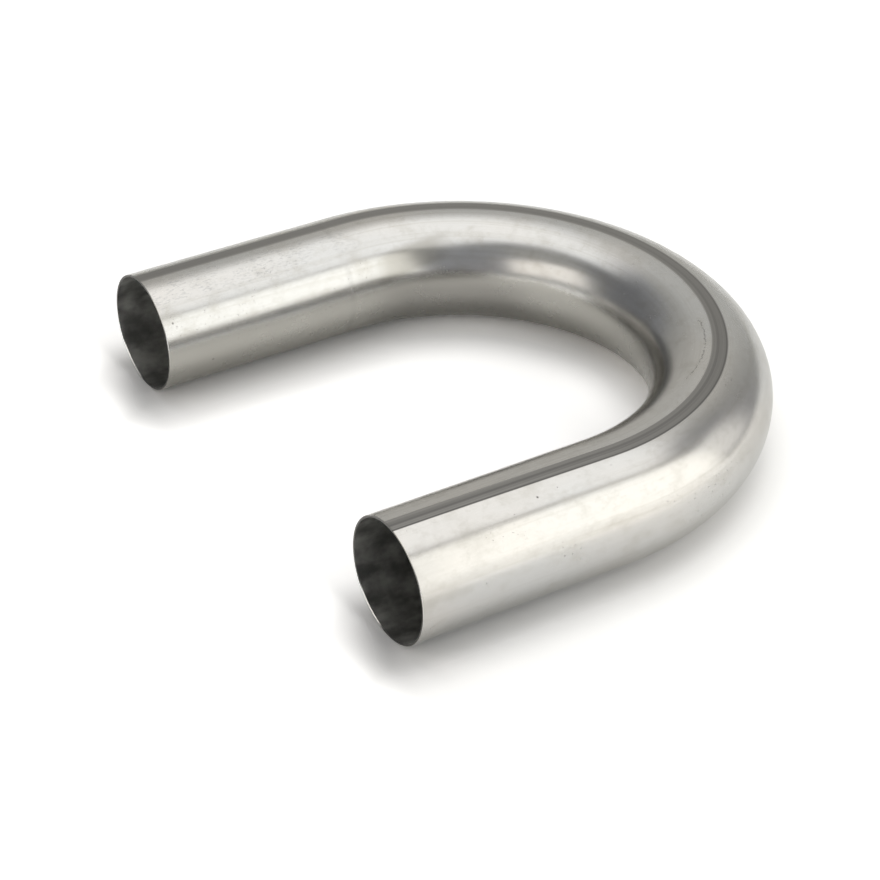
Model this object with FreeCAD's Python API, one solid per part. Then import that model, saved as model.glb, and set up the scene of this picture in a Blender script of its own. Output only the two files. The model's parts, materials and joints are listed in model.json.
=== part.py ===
import FreeCAD, Part

import math
import os

from FreeCAD import Vector

# A thin-walled steel tube bent through half a turn, with a straight leg at each end.
# It lies flat: +Z is up, the legs run towards -X and the far leg is on the +Y side.
# The origin is under the middle of the bend's box, on the surface that it lies on.
# Lengths are in millimetres and angles in degrees. An angle round the tube's section
# starts on the outside of the bend and passes over the top, which is at 90.

# Tube stock
TUBE_OD = 63.5
WALL = 1.24

# Bend and legs
BEND_RADIUS = 127.0
LEG_LENGTH = 120.65

# How far the bore lies outside the tube's centre at the crown of the bend, where
# bending draws the outer wall thin and gathers the inner wall
BORE_SHIFT = 0.22

# Long weld seam, dressed to a strip that is flatter than the tube
SEAM_WIDTH = 8.3
SEAM_DRESSING = 0.1
SEAM_ANGLE = 85.0

# Edges of the sawn ends
DEBURR = 0.2

# Sizes that follow from the ones above
OUTER_RADIUS = TUBE_OD / 2
BORE_RADIUS = OUTER_RADIUS - WALL
OVERALL_LENGTH = LEG_LENGTH + BEND_RADIUS + OUTER_RADIUS
MOUTH_X = -OVERALL_LENGTH / 2
TANGENT_X = MOUTH_X + LEG_LENGTH
BEND_CENTRE = Vector(TANGENT_X, 0, OUTER_RADIUS)

# Angles round the section
INSIDE_OF_BEND = 180
BOTTOM = 270
OUTSIDE_OF_BEND = 360

ALONG_X = Vector(1, 0, 0)
ALONG_Z = Vector(0, 0, 1)
HALF_TURN = 180


def leg_axis_y(side):
    """Y of a leg's axis. The far leg is on side +1 and the near leg on side -1."""
    return side * BEND_RADIUS


def section_point(radius, angle):
    """A point of the far leg's section, at a radius and an angle round it."""
    turn = math.radians(angle)
    return Vector(
        TANGENT_X,
        leg_axis_y(1) + radius * math.cos(turn),
        OUTER_RADIUS + radius * math.sin(turn),
    )


def outer_section():
    """The tube's outline where the far leg meets the bend, flatter along the seam."""
    half_seam = math.degrees(math.asin(SEAM_WIDTH / 2 / OUTER_RADIUS))
    seam_start = section_point(OUTER_RADIUS, SEAM_ANGLE - half_seam)
    seam_middle = section_point(OUTER_RADIUS - SEAM_DRESSING, SEAM_ANGLE)
    seam_end = section_point(OUTER_RADIUS, SEAM_ANGLE + half_seam)
    inside = section_point(OUTER_RADIUS, INSIDE_OF_BEND)
    bottom = section_point(OUTER_RADIUS, BOTTOM)
    outside = section_point(OUTER_RADIUS, OUTSIDE_OF_BEND)
    arcs = [
        Part.Arc(seam_start, seam_middle, seam_end),
        Part.Arc(seam_end, inside, bottom),
        Part.Arc(bottom, outside, seam_start),
    ]
    return Part.Face(Part.Wire([arc.toShape() for arc in arcs]))


def outer_form():
    """The tube as a solid bar: two straight legs and the half turn between them."""
    far_section = outer_section()
    near_section = far_section.rotated(BEND_CENTRE, -ALONG_Z, HALF_TURN)
    bend = far_section.revolve(BEND_CENTRE, -ALONG_Z, HALF_TURN)
    far_leg = far_section.extrude(-LEG_LENGTH * ALONG_X)
    near_leg = near_section.extrude(-LEG_LENGTH * ALONG_X)
    return bend.fuse([far_leg, near_leg])


def passage():
    """The bore, whose bend lies further out than the tube's own by the bore's shift."""
    shift = BORE_SHIFT * ALONG_X
    start = Vector(TANGENT_X, leg_axis_y(1), OUTER_RADIUS) + shift
    disc = Part.Face(Part.Wire(Part.makeCircle(BORE_RADIUS, start, ALONG_X)))
    bend = disc.revolve(BEND_CENTRE + shift, -ALONG_Z, HALF_TURN)
    legs = [
        Part.makeCylinder(BORE_RADIUS, LEG_LENGTH + BORE_SHIFT, mouth(side), ALONG_X)
        for side in (1, -1)
    ]
    return bend.fuse(legs)


def mouth(side):
    """The centre of a leg's open end."""
    return Vector(MOUTH_X, leg_axis_y(side), OUTER_RADIUS)


def deburring(side):
    """What deburring takes off one mouth: a bevel outside and a bevel inside."""
    end = mouth(side)
    collar = Part.makeCylinder(OUTER_RADIUS + DEBURR, DEBURR, end, ALONG_X)
    kept = Part.makeCone(OUTER_RADIUS - DEBURR, OUTER_RADIUS, DEBURR, end, ALONG_X)
    inside = Part.makeCone(BORE_RADIUS + DEBURR, BORE_RADIUS, DEBURR, end, ALONG_X)
    return [collar.cut(kept), inside]


def bent_tube():
    """The whole return bend, one piece of tube."""
    tube = outer_form().cut(passage())
    for side in (1, -1):
        tube = tube.cut(deburring(side))
    return tube


os.makedirs("parts", exist_ok=True)
bent_tube().exportStep("parts/bent_tube.step")
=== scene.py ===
import json
import math

import bpy
import numpy as np
from mathutils import Matrix, Vector, noise

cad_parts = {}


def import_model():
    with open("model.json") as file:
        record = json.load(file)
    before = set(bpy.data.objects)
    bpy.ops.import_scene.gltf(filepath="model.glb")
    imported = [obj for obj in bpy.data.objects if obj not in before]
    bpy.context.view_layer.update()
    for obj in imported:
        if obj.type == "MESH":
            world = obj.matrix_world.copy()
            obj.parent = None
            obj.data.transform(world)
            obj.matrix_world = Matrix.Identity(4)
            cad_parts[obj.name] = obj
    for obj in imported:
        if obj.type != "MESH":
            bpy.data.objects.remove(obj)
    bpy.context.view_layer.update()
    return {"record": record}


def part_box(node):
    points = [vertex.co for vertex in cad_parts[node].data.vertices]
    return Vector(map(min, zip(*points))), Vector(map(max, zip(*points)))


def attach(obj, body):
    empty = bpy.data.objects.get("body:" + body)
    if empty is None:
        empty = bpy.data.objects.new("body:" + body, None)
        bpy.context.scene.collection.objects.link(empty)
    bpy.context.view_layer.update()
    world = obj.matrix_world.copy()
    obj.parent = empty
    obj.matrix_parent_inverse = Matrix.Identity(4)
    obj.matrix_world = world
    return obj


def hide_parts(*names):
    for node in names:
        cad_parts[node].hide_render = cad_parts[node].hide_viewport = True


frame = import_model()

# A return bend of seam-welded steel tube, with the paper, lamps and camera of its
# photograph. A place on the tube is given as if the tube were straight: the distance
# along the run from the far mouth, and an angle round the section, which starts on the
# outside of the bend and passes over the top. Lengths are in metres and angles in
# degrees. Where a name holds a pair of limits, what it names starts at the first and is
# full at the second. Two more numbers are what it starts from and what it comes to.

# Sizes of the tube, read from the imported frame
MILLI = 0.001
MOUNTS = {mount["name"]: mount for mount in frame["record"]["mounts"]}
OUTSIDE = MOUNTS["far_leg_outside"]
BORE = MOUNTS["far_leg_bore"]
OUTSIDE_LENGTH = OUTSIDE["dims"]["length_mm"] * MILLI
BORE_LENGTH = BORE["dims"]["length_mm"] * MILLI
TUBE_RADIUS = OUTSIDE["dims"]["r_mm"] * MILLI
BORE_RADIUS = BORE["dims"]["r_mm"] * MILLI
BEND_RADIUS = OUTSIDE["pos_m"][1]
AXIS_HEIGHT = OUTSIDE["pos_m"][2]
MOUTH_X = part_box("bent_tube")[0].x
TANGENT_X = OUTSIDE["pos_m"][0] + OUTSIDE_LENGTH / 2
BORE_TANGENT_X = BORE["pos_m"][0] + BORE_LENGTH / 2
LEG = TANGENT_X - MOUTH_X
DEBURR = LEG - OUTSIDE_LENGTH
BEND_LENGTH = math.pi * BEND_RADIUS
RUN = 2 * LEG + BEND_LENGTH

# The long weld seam, dressed to a strip that is flatter than the tube
SEAM_WIDTH = 0.0083
SEAM_DRESSING = 0.0001
SEAM_ANGLE = 85.0
HALF_SEAM = math.degrees(math.asin(SEAM_WIDTH / 2 / TUBE_RADIUS))

# How far the seam turns round the near leg, and how long before that leg it starts to
SEAM_DRIFT = 3.0
DRIFT_BEFORE_LEG = 0.03
DRIFT_START = RUN - LEG - DRIFT_BEFORE_LEG

# Mesh density
STEPS_AROUND = 192
STEPS_ON_LEG = 36
STEPS_ON_BEND = 300
BORE_STEPS_ON_LEG = 12
BORE_STEPS_ON_BEND = 56

# Slight unevenness of drawn and bent tube, always inwards
WAVE_DEPTH = 0.00004
WAVE_LENGTH = 0.03

# Allows for rounding at the edges of the strip
ROUNDING = 1e-9

UPWARDS = (0.0, 0.0, 1.0)


def direction(azimuth, elevation):
    """Unit vector. Azimuth 0 points to -Y and 90 to +X; elevation is above the floor."""
    turn, tilt = math.radians(azimuth), math.radians(elevation)
    level = math.cos(tilt)
    return Vector((math.sin(turn) * level, -math.cos(turn) * level, math.sin(tilt)))


def straightened(s, angle):
    """A place on the straightened tube: along it, outwards from its axis, and up."""
    turn = math.radians(angle)
    return Vector((s, TUBE_RADIUS * math.cos(turn), TUBE_RADIUS * math.sin(turn)))


# The tube's mesh


def centreline(s, tangent_x):
    """The centreline's point at a distance along the run, and the way outwards there."""
    leg = tangent_x - MOUTH_X
    turn = min(max((s - leg) / BEND_RADIUS, 0.0), math.pi)
    before_bend = max(leg - s, 0.0)
    past_bend = max(s - leg - BEND_LENGTH, 0.0)
    outwards = np.array([math.sin(turn), math.cos(turn), 0.0])
    middle = np.array([tangent_x - before_bend - past_bend, 0.0, AXIS_HEIGHT])
    return middle + BEND_RADIUS * outwards, outwards


def angles_around():
    """Angles of the section's points, first those on the strip, and how many lie there."""
    start, end = SEAM_ANGLE - HALF_SEAM, SEAM_ANGLE + HALF_SEAM
    strip = round(STEPS_AROUND * 2 * HALF_SEAM / 360)
    on_strip = np.linspace(start, end, strip + 1)
    rest = np.linspace(end, start + 360, STEPS_AROUND - strip + 1)
    return np.concatenate([on_strip[:-1], rest[:-1]]), strip


def outer_radii(angles):
    """The outer radius at each angle: round, but flatter across the seam's strip."""
    half = math.radians(HALF_SEAM)
    crest = TUBE_RADIUS - SEAM_DRESSING
    half_width = TUBE_RADIUS * math.sin(half)
    rise = crest - TUBE_RADIUS * math.cos(half)
    strip_radius = (half_width**2 + rise**2) / (2 * rise)
    centre = crest - strip_radius
    off = np.radians(angles - SEAM_ANGLE)
    along = centre * np.cos(off)
    strip = along + np.sqrt(along**2 + strip_radius**2 - centre**2)
    return np.where(np.abs(off) <= half + ROUNDING, strip, TUBE_RADIUS)


def seam_drift(s):
    """How many degrees the seam has turned at a distance along the run."""
    share = min(max((s - DRIFT_START) / (RUN - DRIFT_START), 0.0), 1.0)
    return SEAM_DRIFT * share


def unevenness(s, angle):
    """Depth below the true surface at a place on the tube."""
    place = straightened(s, angle) / WAVE_LENGTH
    return WAVE_DEPTH * (0.5 + 0.5 * noise.noise(place))


def steps_along(tangent_x, on_leg, on_bend):
    """Distances along a run, between the deburred ends, and the length of the run."""
    leg = tangent_x - MOUTH_X
    run = 2 * leg + BEND_LENGTH
    steps = [
        np.linspace(DEBURR, leg, on_leg + 1)[:-1],
        np.linspace(leg, leg + BEND_LENGTH, on_bend + 1)[:-1],
        np.linspace(leg + BEND_LENGTH, run - DEBURR, on_leg + 1),
    ]
    return np.concatenate(steps), run


def tube_rings():
    """Rings of the whole skin, over the outside from the far mouth to the near one and back
    through the bore. Each is its place along the run, its radius, the x where its run's
    far leg meets the bend, and its kind. A ring outside follows the outline instead."""
    outer, outer_run = steps_along(TANGENT_X, STEPS_ON_LEG, STEPS_ON_BEND)
    inner, inner_run = steps_along(BORE_TANGENT_X, BORE_STEPS_ON_LEG, BORE_STEPS_ON_BEND)
    rings = [(0.0, TUBE_RADIUS - DEBURR, TANGENT_X, "edge")]
    rings += [(s, TUBE_RADIUS, TANGENT_X, "outside") for s in outer]
    rings += [(outer_run, TUBE_RADIUS - DEBURR, TANGENT_X, "edge")]
    rings += [(inner_run, BORE_RADIUS + DEBURR, BORE_TANGENT_X, "edge")]
    rings += [(s, BORE_RADIUS, BORE_TANGENT_X, "bore") for s in inner[::-1]]
    rings += [(0.0, BORE_RADIUS + DEBURR, BORE_TANGENT_X, "edge")]
    return rings


def ring_points(ring, angles, outline):
    """A ring's points, and the same points on the straightened tube."""
    s, radius, tangent_x, kind = ring
    turned = angles + seam_drift(s)
    if kind == "outside":
        radius = outline - [unevenness(s, angle) for angle in turned]
    across = radius * np.cos(np.radians(turned))
    up = radius * np.sin(np.radians(turned))
    centre, outwards = centreline(s, tangent_x)
    points = centre + np.outer(across, outwards) + np.outer(up, UPWARDS)
    return points, np.stack([np.full_like(across, s), across, up], 1)


def slot_between(kind, next_kind):
    """The material slot of the faces between two rings: 0 drawn, 1 bore and 2 sawn."""
    if "outside" in (kind, next_kind):
        return 0
    return 1 if kind == next_kind == "bore" else 2


def skin_faces(kinds, count):
    """The faces between each ring and the next, facing outwards, and their slots."""
    faces, slots = [], []
    for i, kind in enumerate(kinds):
        j = (i + 1) % len(kinds)
        slots += [slot_between(kind, kinds[j])] * count
        for k in range(count):
            after = (k + 1) % count
            ring, next_ring = i * count, j * count
            faces.append((ring + k, ring + after, next_ring + after, next_ring + k))
    return faces, slots


def sharp_edges(mesh, kinds, count, strip):
    """For each edge, whether it is sharp: round the mouths and along the strip's sides."""
    following = kinds[1:] + kinds[:1]
    previous = kinds[-1:] + kinds[:-1]
    at_mouth = ["edge" in near for near in zip(previous, kinds, following)]
    sharp = []
    for edge in mesh.edges:
        (ring, column), (other_ring, _) = (divmod(v, count) for v in edge.vertices)
        if ring == other_ring:
            sharp.append(at_mouth[ring])
        else:
            outside = kinds[ring] == kinds[other_ring] == "outside"
            sharp.append(outside and column in (0, strip))
    return sharp


def build_tube():
    """The tube as one closed mesh, with its straightened coordinates for the materials."""
    angles, strip = angles_around()
    outline = outer_radii(angles)
    rings = tube_rings()
    kinds = [kind for *_, kind in rings]
    count = len(angles)
    points, straight = zip(*[ring_points(ring, angles, outline) for ring in rings])
    faces, slots = skin_faces(kinds, count)

    mesh = bpy.data.meshes.new("return_bend")
    mesh.from_pydata(np.concatenate(points).tolist(), [], faces)
    mesh.polygons.foreach_set("material_index", slots)
    mesh.polygons.foreach_set("use_smooth", [True] * len(faces))
    mesh.attributes.new("straightened", "FLOAT_VECTOR", "POINT")
    mesh.attributes["straightened"].data.foreach_set("vector", np.concatenate(straight).ravel())
    sharp = sharp_edges(mesh, kinds, count, strip)
    mesh.attributes.new("sharp_edge", "BOOLEAN", "EDGE")
    mesh.attributes["sharp_edge"].data.foreach_set("value", sharp)
    mesh.validate()
    piece = bpy.data.objects.new("return_bend", mesh)
    bpy.context.scene.collection.objects.link(piece)
    return piece


# Materials

WHITE = (1.0, 1.0, 1.0, 1.0)


class Nodes:
    """A material's node tree, with short ways to add and link nodes."""

    def __init__(self, name):
        self.material = bpy.data.materials.new(name)
        self.material.use_nodes = True
        self.tree = self.material.node_tree
        self.tree.nodes.clear()

    def add(self, kind, **settings):
        """A new node."""
        node = self.tree.nodes.new(kind)
        for key, value in settings.items():
            setattr(node, key, value)
        return node

    def put(self, socket, value):
        """Links another node's output to a socket, or sets the socket to a plain value."""
        if isinstance(value, bpy.types.NodeSocket):
            self.tree.links.new(value, socket)
        else:
            socket.default_value = value

    def math(self, operation, a, b=0.0, clamp=False):
        """What a Math node makes of two values."""
        node = self.add("ShaderNodeMath", operation=operation, use_clamp=clamp)
        self.put(node.inputs[0], a)
        self.put(node.inputs[1], b)
        return node.outputs[0]

    def plus(self, total, *values):
        """The sum of all values."""
        for value in values:
            total = self.math("ADD", total, value)
        return total

    def minus(self, a, b):
        """The first value less the second."""
        return self.math("SUBTRACT", a, b)

    def times(self, product, *values):
        """The product of all values."""
        for value in values:
            product = self.math("MULTIPLY", product, value)
        return product

    def gap(self, a, b):
        """How far apart two values are."""
        return self.math("ABSOLUTE", self.minus(a, b))

    def remap(self, value, low, high, out_low=0.0, out_high=1.0):
        """A smooth change from one level to another while the value goes from low to high."""
        node = self.add("ShaderNodeMapRange", interpolation_type="SMOOTHSTEP")
        for socket, setting in zip(node.inputs, (value, low, high, out_low, out_high)):
            self.put(socket, setting)
        return node.outputs[0]

    def split(self, vector):
        """The three parts of a vector."""
        node = self.add("ShaderNodeSeparateXYZ")
        self.put(node.inputs[0], vector)
        return node.outputs

    def mix(self, factor, a, b):
        """The first colour mixed with the second."""
        node = self.add("ShaderNodeMix", data_type="RGBA")
        self.put(node.inputs["Factor"], factor)
        self.put(node.inputs["A"], a)
        self.put(node.inputs["B"], b)
        return node.outputs["Result"]

    def glow(self, colour, strength=1.0):
        """A shader that gives light."""
        node = self.add("ShaderNodeEmission")
        self.put(node.inputs["Color"], colour)
        self.put(node.inputs["Strength"], strength)
        return node.outputs[0]

    def surface(self, shader):
        """The finished material, with the shader as its surface."""
        self.put(self.add("ShaderNodeOutputMaterial").inputs["Surface"], shader)
        return self.material


class SteelNodes(Nodes):
    """The nodes of a steel, with its place on the straightened tube."""

    def __init__(self, name):
        super().__init__(name)
        attribute = self.add("ShaderNodeAttribute", attribute_name="straightened")
        self.place = attribute.outputs["Vector"]

    def noise(self, waves, detail, rough=0.5):
        """Noise with so many waves per metre along the tube, across it and up."""
        scaled = self.add("ShaderNodeVectorMath", operation="MULTIPLY")
        self.put(scaled.inputs[0], self.place)
        self.put(scaled.inputs[1], waves)
        node = self.add("ShaderNodeTexNoise")
        self.put(node.inputs["Vector"], scaled.outputs[0])
        self.put(node.inputs["Scale"], 1.0)
        self.put(node.inputs["Detail"], detail)
        self.put(node.inputs["Roughness"], rough)
        return node.outputs["Fac"]

    def metal(self, colour, rough, lines, depth, edge_tint=WHITE):
        """The finished material of a bare metal, with lines of this depth in its surface."""
        bump = self.add("ShaderNodeBump")
        self.put(bump.inputs["Distance"], depth)
        self.put(bump.inputs["Height"], lines)
        shader = self.add("ShaderNodeBsdfPrincipled")
        self.put(shader.inputs["Base Color"], colour)
        self.put(shader.inputs["Metallic"], 1.0)
        self.put(shader.inputs["Roughness"], rough)
        self.put(shader.inputs["Specular Tint"], edge_tint)
        self.put(shader.inputs["Normal"], bump.outputs["Normal"])
        return self.surface(shader.outputs[0])


# The drawn outside. A pattern is noise: its waves per metre along the tube, across it and
# up, its detail, and its roughness where that isn't a half.

STEEL_WARM = (0.515, 0.50, 0.475, 1.0)
STEEL_COOL = (0.50, 0.50, 0.49, 1.0)
STEEL_STAINED = (0.38, 0.366, 0.33, 1.0)
STEEL_SCUFFED = (0.34, 0.34, 0.335, 1.0)
# The dull inner side, darker as painted shade
STEEL_DULL_SHADE = (0.33, 0.322, 0.295, 1.0)
# Painted shade, darkest where the bend starts
STEEL_PAINTED_SHADE = (0.20, 0.194, 0.18, 1.0)
STRIP_DARK = (0.11, 0.108, 0.103, 1.0)
STRIP_LIGHT = (0.25, 0.243, 0.23, 1.0)
STRIP_FAINT = (0.28, 0.272, 0.26, 1.0)
MARK = (0.12, 0.115, 0.11, 1.0)

# Dims the metal's gloss where it is seen at a low angle
EDGE_TINT = (0.82, 0.82, 0.81, 1.0)

# Broad, faint changes of tone, stains and blotches, and streaks and fine lines from
# drawing: the pattern, its limits and the share of the stained colour
BROAD = (9, 22, 22), 2.0
WARM_TO_COOL = 0.35, 0.65
MOTTLE = (55, 70, 70), 5.0, 0.6
MOTTLE_LIMITS, MOTTLE_SHARE = (0.48, 0.74), 0.45
BLOTCHES = (150, 190, 190), 4.0, 0.65
BLOTCH_LIMITS, BLOTCH_SHARE = (0.5, 0.68), 0.22
STREAKS = (4, 420, 420), 4.0, 0.7
STREAK_LIMITS, STREAK_SHARE = (0.45, 0.8), 0.4
LINES, LINE_DEPTH = ((9, 1500, 1500), 3.0), 0.000005

# Scuffs in a band on the far leg, between the strip and the inner side. The band has a
# middle and, off it, limits of its width; it fades this long before and past the leg's
# end, and shows where the mottle is strong.
SCUFFS = (300, 900, 900), 4.0, 0.75
SCUFF_LIMITS, SCUFF_SHARE = (0.5, 0.62), 0.6
SCUFFED_ANGLE, SCUFFED_WIDTH = 115.0, (24.0, 8.0)
SCUFFED_FADE = 0.03
SCUFFED_MOTTLE = 0.36, 0.52

# The lower part of the inner side, rougher where the bending tools rubbed it, and darker
# as painted shade for the shaded paper between the legs that it reflects: its limits above
# and below, how much narrower it is on the far leg, how far into the bend that lasts, and
# where it ends along the run. The broad pattern weakens it in places.
DULL_ABOVE, DULL_BELOW = (160.0, 170.0), (250.0, 215.0)
DULL_NARROWER, DULL_WIDENS = 5.0, 0.06
DULL_END = 0.46, 0.41
DULL_BROAD = 0.2, 0.7, 0.85, 1.0

# Where the bend starts, the inner side's painted shade is darkest: the middle of that
# place along the run, the limits of its length off it, and its limits from above
BEND_SHADE_PLACE, BEND_SHADE_LENGTH = 0.186, (0.075, 0.03)
BEND_SHADE_ABOVE, BEND_SHADE_SHARE = (166.0, 184.0), 0.7

# Above the dull side, where the bend starts, a narrow painted shade dims the highlight and
# rises along the tube: its middle along the run, the limits of its length off it, its angle
# there, the limits of its width off that, and the degrees per metre that it rises
HIGHLIGHT_SHADE_PLACE, HIGHLIGHT_SHADE_LENGTH = 0.155, (0.034, 0.012)
HIGHLIGHT_SHADE_ANGLE, HIGHLIGHT_SHADE_WIDTH = 147.0, (19.0, 9.0)
HIGHLIGHT_SHADE_RISE, HIGHLIGHT_SHADE_SHARE = 380.0, 0.85

# The strip of the seam, ground in long streaks. It is clear on the near leg, with edges
# that fade over twice this angle, and fainter towards the far mouth, with softer edges.
STRIP_SOFT, STRIP_SOFTER = 0.5, 2.2
STRIP_FAINT_SHARE = 0.75
GROUND = (1.2, 620, 620), 2.0, 0.6
GROUND_LEVELS = 0.3, 0.7, -0.05, 0.45

# What darkens the strip: its middle, and a line inside its outer edge, each with its
# place, the limits of its width off that, and its share
MIDDLE_PLACE, MIDDLE_WIDTH, MIDDLE_SHARE = 0.5, (4.6, 0.6), 0.45
EDGE_LINE_INSET, EDGE_LINE_WIDTH, EDGE_LINE_SHARE = 1.2, (1.1, 0.3), 0.5

# Small pits and nicks, each at (s in metres, angle in degrees, radius in metres, strength),
# and the limits of a pit's edge, in its radii
PITS = [
    (0.5558, 67.5, 0.0004, 0.4), (0.5677, 65.0, 0.0006, 0.8), (0.5827, 57.5, 0.0004, 0.3),
    (0.5635, 8.8, 0.0006, 0.35), (0.5592, 8.0, 0.0004, 0.3), (0.6062, 10.0, 0.0005, 0.3),
    (0.0055, 146.0, 0.0006, 0.6), (0.0072, 150.0, 0.0004, 0.4), (0.0256, 195.0, 0.0008, 0.5),
]
PIT_OUTSIDE, PIT_INSIDE = 1.4, 0.4

# A thin scratch on the inner side of the strip, late in the bend. It bows towards the
# strip, by so many degrees per square metre, and is nearest to it at this place along the
# run and this angle. It wanders to each side, changes its width and has breaks.
SCRATCH_START, SCRATCH_END = (0.377, 0.381), (0.442, 0.436)
SCRATCH_NEAREST, SCRATCH_ANGLE = 0.4013, 98.6
SCRATCH_BOW = 5200.0
SCRATCH_JAGS, SCRATCH_WANDER = ((260, 0, 0), 4.0, 0.75), 7.0
SCRATCH_WIDTHS, SCRATCH_WIDTH_LEVELS = ((500, 0, 0), 1.0), (0.35, 0.65, 0.5, 1.3)
SCRATCH_BREAKS, SCRATCH_BREAK_LIMITS = ((420, 60, 60), 2.0), (0.36, 0.52)
SCRATCH_CORE, SCRATCH_SHARE = 0.2, 0.62

# Fine specks, in some places
SPECKS, SPECK_LIMITS, SPECK_SHARE = ((800, 800, 800), 1.0), (0.66, 0.76), 0.35
SPECKLED, SPECKLED_LIMITS = ((26, 40, 40), 2.0), (0.5, 0.66)

# Where the bending tools gripped the far leg, just before the bend, they left a ring
RING_PLACE, RING_WIDTH, RING_SHARE = 0.1105, (0.0026, 0.0004), 0.13
RING, RING_LIMITS = ((20, 60, 60), 2.0), (0.4, 0.62)

# Roughness of the outside, and what the mottle, the strip, the dull side and marks add
ROUGH = 0.15
ROUGH_MOTTLE, ROUGH_STRIP, ROUGH_DULL, ROUGH_MARKS = 0.16, 0.24, 0.06, 0.3


class DrawnSteel(SteelNodes):
    """The tube's outside: drawn, bent, dulled inside the bend with painted shade there, and ground
    along the seam.
    """

    def __init__(self):
        super().__init__("drawn_steel")
        self.along, across, up = self.split(self.place)
        self.angle = self.times(self.math("ARCTAN2", up, across), 180 / math.pi)
        below = self.math("LESS_THAN", self.angle, 0.0)
        self.full_angle = self.plus(self.angle, self.times(below, 360.0))
        self.broad = self.noise(*BROAD)
        self.mottle = self.noise(*MOTTLE)

    def stained(self, base, pattern, limits, share):
        """The colour with a pattern's stains."""
        return self.mix(self.times(self.remap(pattern, *limits), share), base, STEEL_STAINED)

    def tones(self):
        """The clean and stained metal."""
        base = self.mix(self.remap(self.broad, *WARM_TO_COOL), STEEL_WARM, STEEL_COOL)
        base = self.stained(base, self.mottle, MOTTLE_LIMITS, MOTTLE_SHARE)
        base = self.stained(base, self.noise(*BLOTCHES), BLOTCH_LIMITS, BLOTCH_SHARE)
        return self.stained(base, self.noise(*STREAKS), STREAK_LIMITS, STREAK_SHARE)

    def scuffed(self, base):
        """The colour with the far leg's scuffs."""
        band = self.remap(self.gap(self.angle, SCUFFED_ANGLE), *SCUFFED_WIDTH)
        on_leg = self.remap(self.along, LEG + SCUFFED_FADE, LEG - SCUFFED_FADE)
        places = self.remap(self.mottle, *SCUFFED_MOTTLE)
        scuffs = self.remap(self.noise(*SCUFFS), *SCUFF_LIMITS)
        share = self.times(band, on_leg, places, SCUFF_SHARE)
        return self.mix(self.times(scuffs, share), base, STEEL_SCUFFED)

    def dullness_and_shade(self):
        """How dull each place on the inner side is, which also sets how deep its painted shade is.
        """
        narrower = self.remap(self.along, LEG, LEG + DULL_WIDENS, DULL_NARROWER, 0.0)
        return self.times(
            self.remap(self.minus(self.full_angle, narrower), *DULL_ABOVE),
            self.remap(self.full_angle, *DULL_BELOW),
            self.remap(self.along, *DULL_END),
            self.remap(self.broad, *DULL_BROAD),
        )

    def dull_and_shade(self, base, dull):
        """The colour with the dull inner side and its painted shade, darkest where the bend starts,
        and a painted shade that dims the highlight above it.
        """
        # The dull inner side, with its painted shade
        base = self.mix(dull, base, STEEL_DULL_SHADE)
        # Painted shade, darkest where the bend starts
        darkest = self.times(
            self.remap(self.gap(self.along, BEND_SHADE_PLACE), *BEND_SHADE_LENGTH),
            self.remap(self.full_angle, *BEND_SHADE_ABOVE),
        )
        base = self.mix(self.times(dull, darkest, BEND_SHADE_SHARE), base, STEEL_PAINTED_SHADE)
        # A narrow painted shade that dims the highlight above the dull side
        past = self.minus(self.along, HIGHLIGHT_SHADE_PLACE)
        level = self.plus(self.times(past, HIGHLIGHT_SHADE_RISE), self.full_angle)
        highlight_shade = self.remap(self.gap(level, HIGHLIGHT_SHADE_ANGLE), *HIGHLIGHT_SHADE_WIDTH)
        length = self.remap(self.math("ABSOLUTE", past), *HIGHLIGHT_SHADE_LENGTH)
        return self.mix(self.times(highlight_shade, HIGHLIGHT_SHADE_SHARE, length), base, STEEL_DULL_SHADE)

    def strip(self):
        """Where the seam's strip is, and its colour there."""
        drift = self.remap(self.along, DRIFT_START, RUN, 0.0, SEAM_DRIFT)
        off = self.minus(self.minus(self.angle, SEAM_ANGLE), drift)
        faint = self.remap(self.along, RUN - LEG, LEG)
        soft = self.plus(self.times(faint, STRIP_SOFTER), STRIP_SOFT)
        outer_end, inner_end = self.plus(soft, HALF_SEAM), self.minus(HALF_SEAM, soft)
        on_strip = self.remap(self.math("ABSOLUTE", off), outer_end, inner_end)

        middle = self.remap(self.gap(off, MIDDLE_PLACE), *MIDDLE_WIDTH)
        off_line = self.math("ABSOLUTE", self.plus(off, HALF_SEAM - EDGE_LINE_INSET))
        edge_line = self.remap(off_line, *EDGE_LINE_WIDTH)
        shares = self.times(middle, MIDDLE_SHARE), self.times(edge_line, EDGE_LINE_SHARE)
        streaks = self.remap(self.noise(*GROUND), *GROUND_LEVELS)
        darkness = self.math("ADD", self.plus(*shares), streaks, clamp=True)
        colour = self.mix(darkness, STRIP_LIGHT, STRIP_DARK)
        return on_strip, self.mix(self.times(faint, STRIP_FAINT_SHARE), colour, STRIP_FAINT)

    def pit(self, s, angle, radius, strength):
        """How dark a pit makes each place."""
        off = self.add("ShaderNodeVectorMath", operation="DISTANCE")
        self.put(off.inputs[0], self.place)
        self.put(off.inputs[1], straightened(s, angle))
        edge = radius * PIT_OUTSIDE, radius * PIT_INSIDE
        return self.remap(off.outputs["Value"], *edge, 0.0, strength)

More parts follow.
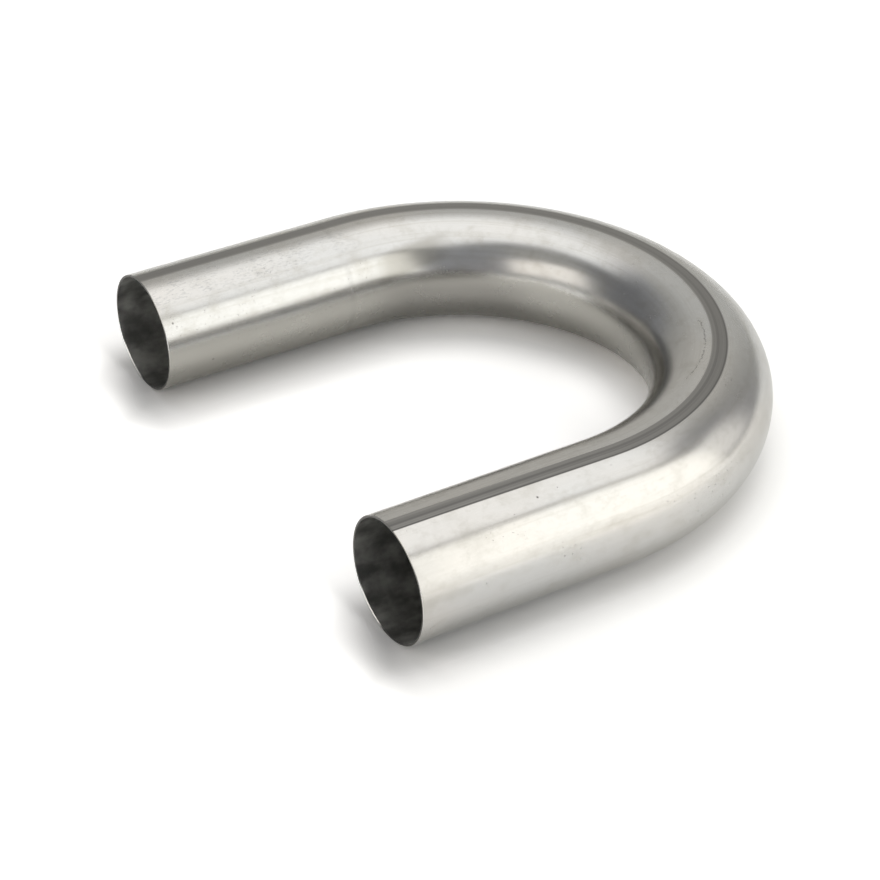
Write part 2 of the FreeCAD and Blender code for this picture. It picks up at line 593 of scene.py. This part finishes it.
    def scratch(self):
        """How dark the scratch makes each place."""
        bow = self.math("POWER", self.minus(self.along, SCRATCH_NEAREST), 2.0)
        bow = self.times(bow, SCRATCH_BOW)
        wander = self.times(self.minus(self.noise(*SCRATCH_JAGS), 0.5), SCRATCH_WANDER)
        off = self.gap(self.angle, self.plus(bow, wander, SCRATCH_ANGLE))
        width = self.remap(self.noise(*SCRATCH_WIDTHS), *SCRATCH_WIDTH_LEVELS)
        return self.times(
            self.remap(off, width, SCRATCH_CORE),
            self.remap(self.noise(*SCRATCH_BREAKS), *SCRATCH_BREAK_LIMITS),
            self.remap(self.along, *SCRATCH_START),
            self.remap(self.along, *SCRATCH_END),
            SCRATCH_SHARE,
        )

    def specks(self):
        """How dark the specks make each place."""
        specks = self.remap(self.noise(*SPECKS), *SPECK_LIMITS)
        return self.times(specks, self.remap(self.noise(*SPECKLED), *SPECKLED_LIMITS), SPECK_SHARE)

    def ring(self):
        """How dark the ring left by the bending tools makes each place."""
        ring = self.remap(self.gap(self.along, RING_PLACE), *RING_WIDTH)
        return self.times(ring, self.remap(self.noise(*RING), *RING_LIMITS), RING_SHARE)

    def marks(self):
        """How dark the darkest mark makes each place."""
        marks = 0.0
        for mark in [self.pit(*pit) for pit in PITS] + [self.scratch(), self.specks(), self.ring()]:
            marks = self.math("MAXIMUM", marks, mark)
        return marks

    def finish(self):
        """The finished material."""
        dull = self.dullness_and_shade()
        on_strip, strip_colour = self.strip()
        marks = self.marks()
        base = self.dull_and_shade(self.scuffed(self.tones()), dull)
        colour = self.mix(marks, self.mix(on_strip, base, strip_colour), MARK)
        rough = self.plus(
            self.times(self.mottle, ROUGH_MOTTLE),
            ROUGH,
            self.times(on_strip, ROUGH_STRIP),
            self.times(dull, ROUGH_DULL),
            self.times(marks, ROUGH_MARKS),
        )
        return self.metal(colour, rough, self.noise(*LINES), LINE_DEPTH, EDGE_TINT)


# The bore

BORE_DARK = (0.20, 0.20, 0.19, 1.0)
BORE_LIGHT = (0.48, 0.48, 0.46, 1.0)
BORE_MOTTLE, BORE_MOTTLE_LIMITS = ((60, 90, 90), 5.0, 0.6), (0.3, 0.7)
BORE_LINES, BORE_LINE_DEPTH = ((10, 700, 700), 2.0), 0.00002
BORE_ROUGH, BORE_ROUGH_MOTTLE = 0.4, 0.3


def bore_steel():
    """The inside of the tube, as it was drawn."""
    n = SteelNodes("bore_steel")
    mottle = n.noise(*BORE_MOTTLE)
    colour = n.mix(n.remap(mottle, *BORE_MOTTLE_LIMITS), BORE_DARK, BORE_LIGHT)
    rough = n.plus(n.times(mottle, BORE_ROUGH_MOTTLE), BORE_ROUGH)
    return n.metal(colour, rough, n.noise(*BORE_LINES), BORE_LINE_DEPTH)


# The mouths' edges

SAWN_DARK = (0.035, 0.035, 0.033, 1.0)
SAWN_LIGHT = (0.13, 0.128, 0.12, 1.0)
SAW_LINES, SAW_LINE_DEPTH = ((900, 900, 40), 2.0), 0.00001
SAWN_ROUGH, SAWN_ROUGH_LINES = 0.4, 0.2

# A painted highlight on each mouth's edge: the middle of that place, as an angle round
# the mouth from +Y, and the cosines of the angles from there at which the brightness
# begins and is full
GLINT_ANGLE = -58.0
GLINT_START, GLINT_FULL = 0.92, 0.985
STEEL_PAINTED_GLINT = (0.75, 0.745, 0.72, 1.0)
GLINT_ROUGH = 0.2


def sawn_steel():
    """The sawn and deburred edges, with a painted highlight on the lower side towards +Y."""
    n = SteelNodes("sawn_steel")
    lines = n.noise(*SAW_LINES)
    colour = n.mix(lines, SAWN_DARK, SAWN_LIGHT)
    along, across, up = n.split(n.place)
    on_near_leg = n.math("GREATER_THAN", along, RUN / 2)
    side = n.minus(1.0, n.times(on_near_leg, 2.0))
    middle = math.radians(GLINT_ANGLE)
    towards = n.plus(n.times(across, side, math.cos(middle)), n.times(up, math.sin(middle)))
    glint = n.remap(towards, GLINT_START * BORE_RADIUS, GLINT_FULL * BORE_RADIUS)
    # The painted highlight on the mouth's edge
    colour = n.mix(glint, colour, STEEL_PAINTED_GLINT)
    smoother = n.remap(glint, 0.0, 1.0, SAWN_ROUGH, GLINT_ROUGH)
    rough = n.plus(n.times(lines, SAWN_ROUGH_LINES), smoother)
    return n.metal(colour, rough, lines, SAW_LINE_DEPTH)


# Studio. Lamps and walls are seen by the metal but not by the camera.

FLOOR_RADIUS = 12.0
FLOOR_SIDES = 96
FLOOR_COLOUR = 0.95

# The paper shows brighter than it is lit, so that it is white beside the tube's shadow.
# The lift starts beside the tube, at these distances in plan from its centreline, and
# makes up for the light's falling off away from the best lit place.
LIFT_LIMITS = 0.022, 0.052
BEST_LIT = (0.2, -0.15)
LIFT_THERE = 0.05
LIFT_SLOPE, LIFT_CURVE = 0.55, 0.8

# On the far leg's inner side the lift starts this much further out, fully from this y
INNER_DELAY, INNER_DELAY_Y = 0.008, 0.06

# Further lift inside the bend, more at its crown, and more close to the tube, fully
# from this x: painted light that makes the tube's shadow there paler
INSIDE_LIFT, INSIDE_LIMITS = 0.12, (0.03, 0.08)
CROWN_LIFT, CROWN_X, CROWN_Y = 0.33, (0.03, 0.07), (0.05, -0.01)
CLOSE_LIFT, CLOSE_LIMITS = 0.3, (0.032, 0.018)
IN_BEND_X = 0.05

# Further lift past the mouths, to keep their shadow short. It grows with the distance
# past the mouth and with the place across the leg's axis, but less again from a place
# where it turns back. Further out it is never less than the outer lift.
MOUTH_LIFT, MOUTH_LIMITS = 0.85, (-0.002, 0.026)
MOUTH_LEAN, MOUTH_TURN_BACK, MOUTH_LEAN_BACK = 0.5, 0.017, 0.8
MOUTH_EDGE = 0.0, 0.008
OUTER_LIFT, OUTER_LIMITS = 0.6, (0.008, 0.036)

# For the camera, a painted shadow makes the paper right beside the tube a little darker,
# but not in the bend or past the mouths
CONTACT_SHADE, CONTACT_LIMITS = 0.2, (0.036, 0.018)
CONTACT_PAST_MOUTH = 0.03, 0.01

# The camera sees the paper white from these distances from the tube's centreline
BACKDROP_LIFT, BACKDROP_LIMITS = 1.0, (0.18, 0.28)

ROOM_RADIUS = 1.6
ROOM_HEIGHT = 2.4
ROOM_SIDES = 120
CEILING_GREY = 0.3

# Greys of the room's wall, by azimuth, and the tints of its darker and lighter greys
WALL_GREYS = [
    (-180, 0.48), (-168, 0.34), (-150, 0.23), (-125, 0.24), (-105, 0.5), (-65, 0.5), (-55, 0.38),
    (-10, 0.38), (0, 0.5), (60, 0.5), (85, 0.38), (103, 0.5), (120, 0.75), (155, 0.72), (180, 0.48),
]
DARK_TINT, LIGHT_TINT = (0.975, 0.985, 1.03), (1.01, 1.0, 0.96)
LIGHT_GREY = 0.42

# Soft boxes and cards: the lower left corner, the ways across and up, the colour, the
# strength, and the widths over which the left, right, lower and upper edges fade
LIT_PANELS = {
    "front_softbox": (
        (-0.115, -0.40, 0.035), (0.83, 0, 0), (0.142, 0, 0.585),
        (1.0, 0.99, 0.95), 2.1, (0.09, 0.19, 0.06, 0.08),
    ),
    "low_card": (
        (-0.15, -0.395, 0), (0.90, 0, 0), (0, 0, 0.115),
        (1.0, 0.98, 0.935), 1.7, (0.18, 0.12, 0, 0.06),
    ),
    "corner_card": (
        (0.66, -0.39, 0.02), (0, 0.32, 0), (0, 0, 0.48),
        (1.0, 0.995, 0.98), 1.2, (0.02, 0.18, 0.1, 0.02),
    ),
    "left_softbox": (
        (-0.6, 0.33, 0.10), (0, -0.70, 0), (0, 0, 0.44),
        (1.0, 0.955, 0.90), 1.65, (0.2, 0.1, 0.1, 0.05),
    ),
    "overhead_softbox": (
        (-0.16, -0.39, 0.62), (0.75, 0, 0), (-0.24, 0.87, -0.1),
        (1.0, 0.995, 0.985), 1.66, (0.16, 0.14, 0.08, 0.25),
    ),
}


def stage_mesh(name, points, faces, material, seen=False):
    """A mesh that belongs to the studio."""
    mesh = bpy.data.meshes.new(name)
    mesh.from_pydata([tuple(point) for point in points], [], faces)
    mesh.materials.append(material)
    item = bpy.data.objects.new(name, mesh)
    item.visible_camera = seen
    bpy.context.scene.collection.objects.link(item)
    return item


def plan_length(n, a, b):
    """Length of the step in plan whose parts are a and b."""
    return n.math("SQRT", n.plus(n.math("POWER", a, 2), n.math("POWER", b, 2)))


def inside_lift(n, x, y, inwards, close):
    """The further lift inside the bend, painted light that makes the tube's shadow paler there."""
    inside = n.remap(inwards, *INSIDE_LIMITS, 0.0, INSIDE_LIFT)
    crown = n.times(n.remap(x, *CROWN_X, 0.0, CROWN_LIFT), n.remap(y, *CROWN_Y))
    inner = n.math("GREATER_THAN", inwards, 0.0)
    return n.plus(inside, close, n.times(inner, crown))


def mouth_lift(n, y, past_mouth):
    """The further lift past the mouths."""
    across = n.minus(y, n.times(n.math("SIGN", y), BEND_RADIUS))
    back = n.math("MAXIMUM", n.minus(across, MOUTH_TURN_BACK), 0.0)
    lean = n.plus(past_mouth, n.times(across, MOUTH_LEAN))
    lean = n.minus(lean, n.times(back, MOUTH_LEAN_BACK))
    mouth = n.remap(lean, *MOUTH_LIMITS, 0.0, MOUTH_LIFT)
    mouth = n.times(mouth, n.remap(past_mouth, *MOUTH_EDGE))
    return n.math("MAXIMUM", mouth, n.remap(past_mouth, *OUTER_LIMITS, 0.0, OUTER_LIFT))


def floor_lift(n, x, y):
    """How much brighter than it is lit the paper shows at a place in plan, and how much
    brighter still the camera sees it, which is less than nothing right beside the tube, where a
    painted shadow darkens it."""
    past_tangent = n.math("MAXIMUM", n.minus(x, TANGENT_X), 0.0)
    past_mouth = n.math("MAXIMUM", n.minus(MOUTH_X, x), 0.0)
    inwards = n.minus(BEND_RADIUS, plan_length(n, past_tangent, y))
    distance = plan_length(n, inwards, past_mouth)
    inner = n.math("GREATER_THAN", inwards, 0.0)
    delay = n.times(inner, n.remap(y, 0.0, INNER_DELAY_Y, 0.0, INNER_DELAY))
    beside = n.remap(n.minus(distance, delay), *LIFT_LIMITS)
    away = plan_length(n, n.minus(x, BEST_LIT[0]), n.minus(y, BEST_LIT[1]))
    slope = n.plus(n.times(away, LIFT_CURVE), LIFT_SLOPE)
    lift_away = n.plus(n.times(away, slope), LIFT_THERE)

    in_bend = n.times(inner, n.remap(x, TANGENT_X, IN_BEND_X))
    close = n.times(in_bend, n.remap(distance, *CLOSE_LIMITS, 0.0, CLOSE_LIFT))
    inside = inside_lift(n, x, y, inwards, close)
    lift = n.plus(n.times(beside, lift_away), inside, mouth_lift(n, y, past_mouth))

    # A painted shadow for the camera, right beside the tube
    contact = n.remap(distance, *CONTACT_LIMITS, 0.0, CONTACT_SHADE)
    contact = n.times(contact, n.remap(past_mouth, *CONTACT_PAST_MOUTH), n.minus(1.0, in_bend))
    backdrop = n.remap(distance, *BACKDROP_LIMITS, 0.0, BACKDROP_LIFT)
    return lift, n.minus(backdrop, contact)


def floor():
    """A sheet of plain pale paper."""
    n = Nodes("floor_paper")
    x, y, _ = n.split(n.add("ShaderNodeNewGeometry").outputs["Position"])
    lift, camera_lift = floor_lift(n, x, y)
    path = n.add("ShaderNodeLightPath").outputs
    seen = n.math("MAXIMUM", path["Is Camera Ray"], path["Is Glossy Ray"])
    seen = n.math("MAXIMUM", seen, path["Is Transmission Ray"])
    lift = n.plus(n.times(seen, lift), n.times(camera_lift, path["Is Camera Ray"]))
    shade = n.times(n.plus(lift, 1.0), FLOOR_COLOUR)
    colour = n.add("ShaderNodeCombineColor")
    for socket in colour.inputs:
        n.put(socket, shade)
    paper = n.add("ShaderNodeBsdfDiffuse")
    n.put(paper.inputs["Color"], colour.outputs[0])
    material = n.surface(paper.outputs[0])
    turns = [2 * math.pi * k / FLOOR_SIDES for k in range(FLOOR_SIDES)]
    rim = [(FLOOR_RADIUS * math.cos(a), FLOOR_RADIUS * math.sin(a), 0) for a in turns]
    stage_mesh("floor", rim, [range(FLOOR_SIDES)], material, seen=True)


def room():
    """A round wall whose grey changes with the azimuth, and a grey ceiling."""
    n = Nodes("room_wall")
    x, y, _ = n.split(n.add("ShaderNodeNewGeometry").outputs["Position"])
    turn = n.math("ARCTAN2", x, n.times(y, -1.0))
    ramp = n.add("ShaderNodeValToRGB")
    n.put(ramp.inputs[0], n.plus(n.math("DIVIDE", turn, 2 * math.pi), 0.5))
    stops = ramp.color_ramp.elements
    while len(stops) < len(WALL_GREYS):
        stops.new(0.5)
    for stop, (azimuth, grey) in zip(stops, WALL_GREYS):
        tints = LIGHT_TINT if grey > LIGHT_GREY else DARK_TINT
        stop.position = (azimuth + 180) / 360
        stop.color = (*[grey * tint for tint in tints], 1)
    wall = n.surface(n.glow(ramp.outputs[0]))
    n = Nodes("room_ceiling")
    ceiling = n.surface(n.glow(WHITE, CEILING_GREY))

    foot = [direction(360 * k / ROOM_SIDES, 0) * ROOM_RADIUS for k in range(ROOM_SIDES)]
    top = [point + Vector((0, 0, ROOM_HEIGHT)) for point in foot]
    faces = []
    for k in range(ROOM_SIDES):
        after = (k + 1) % ROOM_SIDES
        faces.append((k, after, ROOM_SIDES + after, ROOM_SIDES + k))
    stage_mesh("room_wall", foot + top, faces, wall)
    stage_mesh("room_ceiling", top, [range(ROOM_SIDES)], ceiling)


def soft_edges(n, coordinate, start, end):
    """Fades from 0 to 1 over the given shares of a panel's length at each of its two ends."""
    rise = n.remap(coordinate, 0.0, start) if start else 1.0
    fall = n.remap(coordinate, 1.0, 1.0 - end) if end else 1.0
    return n.times(rise, fall)


def lit_panel(name, corner, across, up, colour, strength, soft):
    """A soft box or card: a lit panel whose four edges fade."""
    corner, across, up = Vector(corner), Vector(across), Vector(up)
    left, right, low, high = soft
    n = Nodes(name)
    u, v, _ = n.split(n.add("ShaderNodeUVMap", uv_map="panel").outputs[0])
    level = n.times(
        soft_edges(n, u, left / across.length, right / across.length),
        soft_edges(n, v, low / up.length, high / up.length),
    )
    shader = n.add("ShaderNodeMixShader")
    n.put(shader.inputs[0], level)
    n.put(shader.inputs[1], n.add("ShaderNodeBsdfTransparent").outputs[0])
    n.put(shader.inputs[2], n.glow((*colour, 1), strength))
    corners = [corner, corner + across, corner + across + up, corner + up]
    panel = stage_mesh(name, corners, [(0, 1, 2, 3)], n.surface(shader.outputs[0]))
    uv_map = panel.data.uv_layers.new(name="panel")
    uv_map.data.foreach_set("uv", [0, 0, 1, 0, 1, 1, 0, 1])


def world():
    """Plain white, which only the camera sees, past the room and the paper."""
    white_world = bpy.data.worlds.new("studio")
    white_world.use_nodes = True
    background = white_world.node_tree.nodes["Background"]
    background.inputs["Color"].default_value = WHITE
    background.inputs["Strength"].default_value = 1.0
    bpy.context.scene.world = white_world


# Camera, fitted to the outlines in the photograph. It aims at a point as high as the
# tube's axis. The sensor and the lens are in millimetres.

CAMERA_AZIMUTH = -31.992
CAMERA_ELEVATION = 33.880
CAMERA_ROLL = 0.590
CAMERA_DISTANCE = 1.2471
AIM_BEFORE_BEND = 0.03909
AIM_Y = -0.04071
SENSOR = 36.0
LENS = 102.64


def camera():
    """The photograph's camera."""
    data = bpy.data.cameras.new("camera")
    data.sensor_width = SENSOR
    data.lens = LENS
    item = bpy.data.objects.new("camera", data)
    back = direction(CAMERA_AZIMUTH, CAMERA_ELEVATION)
    azimuth, roll = math.radians(CAMERA_AZIMUTH), math.radians(CAMERA_ROLL)
    right = Vector((math.cos(azimuth), math.sin(azimuth), 0))
    up = back.cross(right)
    tilted_right = right * math.cos(roll) + up * math.sin(roll)
    tilted_up = up * math.cos(roll) - right * math.sin(roll)
    turn = Matrix((tilted_right, tilted_up, back)).transposed().to_4x4()
    target = Vector((TANGENT_X - AIM_BEFORE_BEND, AIM_Y, AXIS_HEIGHT))
    item.matrix_world = Matrix.Translation(target + back * CAMERA_DISTANCE) @ turn
    bpy.context.scene.collection.objects.link(item)
    bpy.context.scene.camera = item


tube = build_tube()
for material in (DrawnSteel().finish(), bore_steel(), sawn_steel()):
    tube.data.materials.append(material)
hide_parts("bent_tube")
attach(tube, "root")

floor()
room()
for panel_name, settings in LIT_PANELS.items():
    lit_panel(panel_name, *settings)
world()
camera()
bpy.context.scene.view_settings.view_transform = "Standard"
